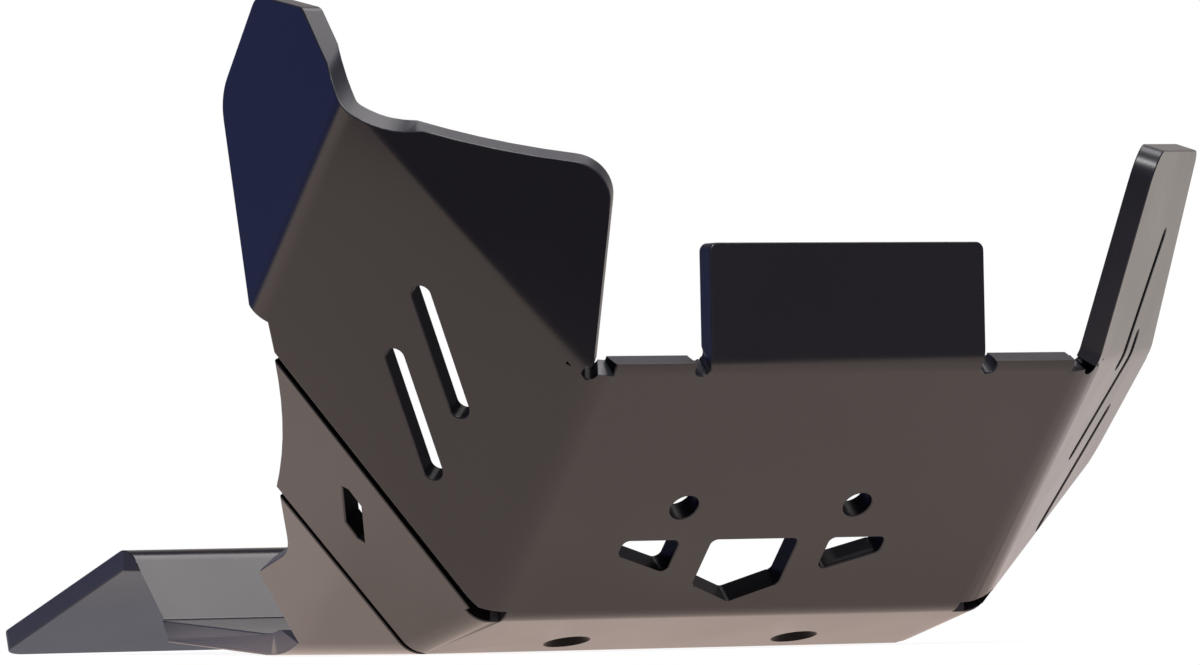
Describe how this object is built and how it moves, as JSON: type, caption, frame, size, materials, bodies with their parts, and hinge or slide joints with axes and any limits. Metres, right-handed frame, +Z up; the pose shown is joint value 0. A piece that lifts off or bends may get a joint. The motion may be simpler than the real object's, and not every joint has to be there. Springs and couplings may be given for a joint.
{
  "type": "motorcycle skid plate",
  "caption": "Folded thick plastic skid plate: slotted wings, drain openings, countersunk belly screws and a tail that shields the suspension linkage.",
  "frame": {"origin": "middle of the flat floor's underside, on the front plate's centre line", "axes": "+X to the right of the picture, +Y towards the rear wheel and the tail, +Z up towards the engine; the front plate faces -Y"},
  "size_m": [0.3743, 0.6015, 0.2287],
  "materials": {
    "plate": "satin black high-density polyethylene with routed edges"
  },
  "bodies": {
    "root": {"plate": "plate"}
  },
  "joints": []
}
